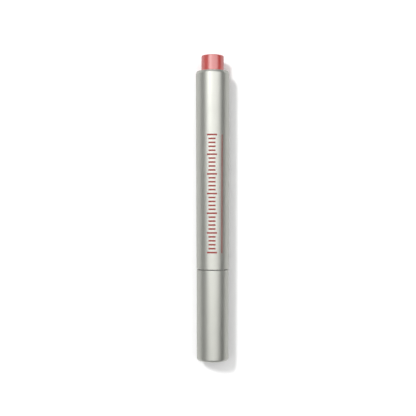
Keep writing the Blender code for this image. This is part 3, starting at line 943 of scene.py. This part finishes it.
feed_radius, feed_front, feed_rear = outside("feed_tube")
turned("liquid_tube", [
    (feed_radius - feed_wall, feed_rear),
    (feed_radius, feed_rear, feed_edge),
    (feed_radius, feed_front, feed_edge),
    (feed_radius - feed_wall, feed_front, feed_edge),
], "bright_steel", "barrel", "feed_tube", steps=slim_steps)

# %% [markdown]
# ## The reservoir, the piston and the rings behind them
#
# These fill the barrel and show only when the model is taken apart. They are turned as finely as
# the outside, with the piston's two thin lips and its waist between them.

# %% Turn the inner rings
inner_edge = 0.2 * MM


def ring(name, finish, node, bore, bore_edge):
    """A plain ring of the solid's size, with its four corners rounded."""
    radius, front, rear = outside(node)
    turned(name, [
        (bore, rear, bore_edge),
        (radius, rear, inner_edge),
        (radius, front, inner_edge),
        (bore, front, bore_edge),
    ], finish, "barrel", node)


ring("liquid_reservoir", "natural_plastic", "reservoir", bore=5.0 * MM, bore_edge=inner_edge)
ring("button_bush", "grey_plastic", "rear_bush", bore=4.95 * MM, bore_edge=inner_edge)
ring("spring_washer", "grey_plastic", "spring_seat", bore=4.55 * MM, bore_edge=0.1 * MM)

# %% Turn the piston
lip = 1.3 * MM
waist = 0.5 * MM
rod_neck_hole = 1.32 * MM
rod_head_hole = 1.71 * MM
neck_hole_length = 1.85 * MM
pocket_length = 1.3 * MM
lip_round = 0.08 * MM

piston_radius, piston_front, piston_rear = outside("piston")
pocket_rear = piston_rear - neck_hole_length
pocket_front = pocket_rear - pocket_length
turned("liquid_piston", [
    (0, pocket_front),
    (rod_head_hole, pocket_front),
    (rod_head_hole, pocket_rear),
    (rod_neck_hole, pocket_rear),
    (rod_neck_hole, piston_rear, lip_round),
    (piston_radius, piston_rear, lip_round),
    (piston_radius, piston_rear - lip, lip_round),
    (piston_radius - waist, piston_rear - lip - waist, inner_edge),
    (piston_radius - waist, piston_front + lip + waist, inner_edge),
    (piston_radius, piston_front + lip, lip_round),
    (piston_radius, piston_front, lip_round),
    (piston_radius - waist, piston_front, lip_round),
    (piston_radius - lip, piston_front + waist, inner_edge),
    (0, piston_front + waist),
], "white_plastic", "piston", "piston")

# %% [markdown]
# ## Shapes that grow from nodes
#
# The bristles, the coils of the spring and the strokes of the print all repeat one small thing by
# a rule. Geometry Nodes is made for that: each tree below takes its sizes as named inputs, and
# the finished shape is then turned into a plain mesh.

# %% Build and grow a Geometry Nodes tree
def shape_tree(name, *sizes):
    """A tree with named inputs. It gives the tree, its input sockets and a function to close it."""
    tree = bpy.data.node_groups.new(name, "GeometryNodeTree")
    for label, kind in sizes:
        tree.interface.new_socket(label, in_out="INPUT", socket_type=kind)
    tree.interface.new_socket("Material", in_out="INPUT", socket_type="NodeSocketMaterial")
    tree.interface.new_socket("Geometry", in_out="OUTPUT", socket_type="NodeSocketGeometry")
    given = tree.nodes.new("NodeGroupInput").outputs

    def close(geometry):
        real = product(tree, "GeometryNodeRealizeInstances", {"Geometry": geometry})
        inputs = {"Geometry": real, "Material": given["Material"]}
        painted = product(tree, "GeometryNodeSetMaterial", inputs)
        tree.links.new(painted, tree.nodes.new("NodeGroupOutput").inputs[0])

    return tree, given, close


def grow(name, tree, values, finish, body, *nodes):
    """Runs a tree with its sizes, keeps the result as a plain mesh and dresses it."""
    seed = bpy.data.objects.new(name + "_seed", bpy.data.meshes.new(name + "_seed"))
    scene.collection.objects.link(seed)
    modifier = seed.modifiers.new("shape", "NODES")
    modifier.node_group = tree
    values = {**values, "Material": finishes[finish]}
    for socket in tree.interface.items_tree:
        if socket.in_out == "INPUT":
            modifier[socket.identifier] = values[socket.name]
    evaluated = seed.evaluated_get(bpy.context.evaluated_depsgraph_get())
    mesh = bpy.data.meshes.new_from_object(evaluated)
    seed.modifiers.remove(modifier)
    bpy.data.objects.remove(seed)
    mesh.name = name
    return dress(name, mesh, finish, body, *nodes)


def place_by(tree, geometry, x, y, z):
    """Moves every point of a geometry to the place that three sockets give."""
    place = product(tree, "ShaderNodeCombineXYZ", {"X": x, "Y": y, "Z": z})
    return product(tree, "GeometryNodeSetPosition", {"Geometry": geometry, "Position": place})


def round_wire(tree, line, radius, sides):
    """Round wire or thread along a line of points, with closed ends."""
    profile = product(tree, "GeometryNodeCurvePrimitiveCircle", {"Resolution": sides, "Radius": 1})
    return product(tree, "GeometryNodeCurveToMesh", {
        "Curve": line, "Profile Curve": profile, "Fill Caps": True, "Scale": radius,
    })


# %% [markdown]
# ## The brush
#
# Nine hundred tapered nylon strands stand in a sunflower pattern, which fills a round ferrule
# evenly. The tuft swells a little in front of the ferrule and then closes to a soft point, and
# each strand ends where the dome of the tip cuts it. Every strand is a straight line of points
# that is moved by the pattern, thinned towards its tip, and given a small round profile.

# %% Describe a tuft of bristles
INTEGER = "NodeSocketInt"
tuft, given, close = shape_tree(
    "Tuft of bristles",
    ("Count", INTEGER), ("Inner radius", FLOAT), ("Outer radius", FLOAT), ("Root Y", FLOAT),
    ("Length", FLOAT), ("Dome", FLOAT), ("Held", FLOAT), ("Belly", FLOAT), ("Tip", FLOAT),
    ("Strand radius", FLOAT), ("Stray", FLOAT), ("Axis height", FLOAT),
)
strand_points = 9

feet = product(tuft, "GeometryNodePoints", {"Count": given["Count"]})
index = product(tuft, "GeometryNodeInputIndex")
marked = product(
    tuft, "GeometryNodeStoreNamedAttribute", {"Geometry": feet, "Name": "strand", "Value": index},
    data_type="FLOAT", domain="POINT",
)
line = product(tuft, "GeometryNodeCurvePrimitiveLine")
line = product(tuft, "GeometryNodeResampleCurve", {"Curve": line, "Count": strand_points})
strands = product(tuft, "GeometryNodeInstanceOnPoints", {"Points": marked, "Instance": line})
strands = product(tuft, "GeometryNodeRealizeInstances", {"Geometry": strands})

# %% Give every strand its place in the tuft
golden_angle = math.pi * (3 - math.sqrt(5))
belly_share, closing_share, closing_power = 0.45, 0.35, 1.7
stray_seed = 7

strand = product(tuft, "GeometryNodeInputNamedAttribute", {"Name": "strand"}, data_type="FLOAT")
along = product(tuft, "GeometryNodeSplineParameter")
share = sums("DIVIDE", sums("ADD", strand, 0.5), given["Count"])
inner_area = sums("POWER", given["Inner radius"], 2)
outer_area = sums("POWER", given["Outer radius"], 2)
ring_area = sums("MULTIPLY", sums("SUBTRACT", outer_area, inner_area), share)
foot = sums("SQRT", sums("ADD", inner_area, ring_area))
shortened = sums("MULTIPLY", given["Dome"], share)
length = sums("SUBTRACT", given["Length"], shortened)
distance = sums("MULTIPLY", length, along)
free = sums("SUBTRACT", given["Length"], given["Held"])
out = sums("DIVIDE", sums("SUBTRACT", distance, given["Held"]), free)
swelling = spread(out, 0, belly_share, 1, given["Belly"])
closing = sums("POWER", ramp(out, closing_share, 1, 0, 1), closing_power)
closing = ramp(closing, 0, 1, 1, given["Tip"])
spread_out = sums("MULTIPLY", swelling, closing)

stray = add_node(
    tuft, "FunctionNodeRandomValue", {"ID": strand, "Seed": stray_seed}, data_type="FLOAT"
)
# The sockets for numbers come after those for vectors
stray.inputs[2].default_value = -1
stray.inputs[3].default_value = 1
bend = sums("MULTIPLY", stray.outputs[1], sums("POWER", along, 2))
bend = sums("MULTIPLY", bend, given["Stray"])
reach = sums("ADD", sums("MULTIPLY", foot, spread_out), bend)
turn = sums("MULTIPLY", strand, golden_angle)
x = sums("MULTIPLY", reach, sums("COSINE", turn))
z = sums("MULTIPLY_ADD", reach, sums("SINE", turn), given["Axis height"])
y = sums("SUBTRACT", given["Root Y"], distance)
strands = place_by(tuft, strands, x, y, z)

# %% Give the strands their thickness
strand_sides = 5
taper_share, tip_thinness = 0.3, 0.35

taper = ramp(along, taper_share, 1, 1, tip_thinness)
thinned = sums("MULTIPLY", given["Strand radius"], taper)
close(round_wire(tuft, strands, thinned, strand_sides))

# %% Grow the brush
root_depth = 0.6 * MM
bristle_tip, backing_rear = outside("brush_bristles")[1:]
bristle_root = backing_rear - root_depth
grow("brush_tuft", tuft, {
    "Count": 900,
    "Inner radius": 0.66 * MM,
    "Outer radius": 1.58 * MM,
    "Root Y": bristle_root,
    "Length": bristle_root - bristle_tip,
    "Dome": 3.0 * MM,
    "Held": bristle_root - ferrule_front,
    "Belly": 1.10,
    "Tip": 0.30,
    "Strand radius": 0.034 * MM,
    "Stray": 0.05 * MM,
    "Axis height": axis_height,
}, "black_nylon", "barrel", "brush_bristles")

# %% Turn the tuft's backing
backing_radius = 1.65 * MM
backing_thickness = 1.0 * MM
turned("tuft_backing", [
    (flow_radius, backing_rear),
    (backing_radius, backing_rear, foot_edge),
    (backing_radius, backing_rear - backing_thickness),
    (flow_radius, backing_rear - backing_thickness),
], "black_nylon", "barrel", "brush_bristles", steps=slim_steps)

# %% [markdown]
# ## The return spring
#
# A compression spring has open coils in the middle and one closed coil at each end, so that it
# stands flat. The wire follows a line of points that is wound round the axis. The spring is
# squeezed when the button goes down.

# %% Describe a compression spring
coils, given, close = shape_tree(
    "Compression spring",
    ("Turns", FLOAT), ("Coil radius", FLOAT), ("Wire radius", FLOAT), ("Seat Y", FLOAT),
    ("Free end Y", FLOAT), ("Axis height", FLOAT),
)
spring_points = 257
wire_sides = 16
closed_wires = 3

line = product(coils, "GeometryNodeCurvePrimitiveLine")
line = product(coils, "GeometryNodeResampleCurve", {"Curve": line, "Count": spring_points})
along = product(coils, "GeometryNodeSplineParameter")
wire = sums("MULTIPLY", given["Wire radius"], 2)
one_turn = sums("DIVIDE", 1, given["Turns"])
from_end = sums("SUBTRACT", 1, one_turn)
first = ramp(along, 0, one_turn, 0, wire)
last = ramp(along, from_end, 1, 0, wire)
whole = sums("SUBTRACT", given["Free end Y"], given["Seat Y"])
open_length = sums("MULTIPLY_ADD", wire, -closed_wires, whole)
middle = ramp(along, one_turn, from_end, 0, open_length)
rise = sums("ADD", sums("ADD", first, last), middle)
y = sums("ADD", sums("ADD", given["Seat Y"], given["Wire radius"]), rise)
turn = sums("MULTIPLY", sums("MULTIPLY", along, given["Turns"]), math.tau)
x = sums("MULTIPLY", given["Coil radius"], sums("COSINE", turn))
z = sums("MULTIPLY_ADD", given["Coil radius"], sums("SINE", turn), given["Axis height"])
coil = place_by(coils, line, x, y, z)
close(round_wire(coils, coil, given["Wire radius"], wire_sides))

# %% Grow the spring
wire_radius = 0.25 * MM
seat_play = 0.05 * MM
seat_rear = outside("spring_seat")[2]
spring_outer, _, spring_rear = outside("return_spring")
spring = grow("coil_spring", coils, {
    "Turns": 8.0,
    "Coil radius": spring_outer - wire_radius,
    "Wire radius": wire_radius,
    "Seat Y": seat_rear + seat_play,
    "Free end Y": spring_rear,
    "Axis height": axis_height,
}, "bright_steel", "barrel", "return_spring")
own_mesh(spring)

# %% [markdown]
# ## The print
#
# Such pens are printed along the barrel in the colour of the button. Here the print is a plain
# gauge: a column of short cross strokes, every fifth one longer, and one thin line beside it.
# Each stroke is a flat block of ink that is bent round the barrel, whose taper it follows.

# %% Describe strokes round the barrel
strokes, given, close = shape_tree(
    "Printed strokes",
    ("Count", INTEGER), ("Pitch", FLOAT), ("First Y", FLOAT), ("Stroke", FLOAT),
    ("Short", FLOAT), ("Long", FLOAT), ("Every", INTEGER), ("Round by", FLOAT),
    ("Front Y", FLOAT), ("Rear Y", FLOAT), ("Front radius", FLOAT), ("Rear radius", FLOAT),
    ("Ink", FLOAT), ("Axis height", FLOAT),
)
step = product(strokes, "ShaderNodeCombineXYZ", {"Y": given["Pitch"]})
start = product(strokes, "ShaderNodeCombineXYZ", {"Y": given["First Y"]})
column = product(
    strokes, "GeometryNodeMeshLine",
    {"Count": given["Count"], "Start Location": start, "Offset": step},
)
index = product(strokes, "GeometryNodeInputIndex")
left_over = sums("MODULO", index, given["Every"])
is_long = sums("LESS_THAN", left_over, 0.5)
extra = sums("SUBTRACT", given["Long"], given["Short"])
width = sums("MULTIPLY_ADD", is_long, extra, given["Short"])
size = product(
    strokes, "ShaderNodeCombineXYZ", {"X": width, "Y": given["Stroke"], "Z": given["Ink"]}
)
bent_points = 9
block = product(
    strokes, "GeometryNodeMeshCube",
    {"Size": (1, 1, 1), "Vertices X": bent_points, "Vertices Y": 2, "Vertices Z": 2},
)
blocks = product(
    strokes, "GeometryNodeInstanceOnPoints", {"Points": column, "Instance": block, "Scale": size}
)
blocks = product(strokes, "GeometryNodeRealizeInstances", {"Geometry": blocks})
place = product(strokes, "GeometryNodeInputPosition")
at = add_node(strokes, "ShaderNodeSeparateXYZ", {0: place}).outputs
surface = ramp(
    at["Y"], given["Front Y"], given["Rear Y"], given["Front radius"], given["Rear radius"]
)
turn = sums("ADD", sums("DIVIDE", at["X"], surface), given["Round by"])
height = sums("ADD", surface, at["Z"])
x = sums("MULTIPLY", height, sums("SINE", turn))
z = sums("MULTIPLY_ADD", height, sums("COSINE", turn), given["Axis height"])
close(place_by(strokes, blocks, x, at["Y"], z))

# %% Print the gauge and the line
print_front = -19 * MM
print_rear = 31 * MM
first_stroke = print_front + 0.3 * MM
line_width = 0.4 * MM
barrel_sizes = {
    "Front Y": barrel_front, "Rear Y": barrel_rear, "Front radius": barrel_front_radius,
    "Rear radius": barrel_radius, "Ink": 0.02 * MM, "Axis height": axis_height,
}
pitch = 1.65 * MM
grow("printed_gauge", strokes, {
    **barrel_sizes, "Count": 31, "Pitch": pitch, "First Y": first_stroke,
    "Stroke": 0.7 * MM, "Short": 3.0 * MM, "Long": 4.3 * MM, "Every": 5,
    "Round by": math.radians(-2.5),
}, "coral_ink", "barrel")
grow("printed_line", strokes, {
    **barrel_sizes, "Count": 1, "Pitch": pitch, "First Y": (print_front + print_rear) / 2,
    "Stroke": print_rear - print_front, "Short": line_width, "Long": line_width, "Every": 1,
    "Round by": math.radians(34),
}, "coral_ink", "barrel")

# %% [markdown]
# ## The solids that stay as they are
#
# The feed inside the pen keeps its solids, which have their real shape. Each gets the finish of
# its own material instead of the plain colour that it was packed with.

# %% Dress the remaining solids
slots = {part["node"]: part["material_slot"] for part in frame["record"]["subparts"]}
kept = [node for node, solid in frame["nodes"].items() if not solid.hide_render]
for node in kept:
    mesh = frame["nodes"][node].data
    mesh.materials.clear()
    mesh.materials.append(finishes[slots[node]])
print("kept as they are:", ", ".join(kept))

# %% Import json
import json
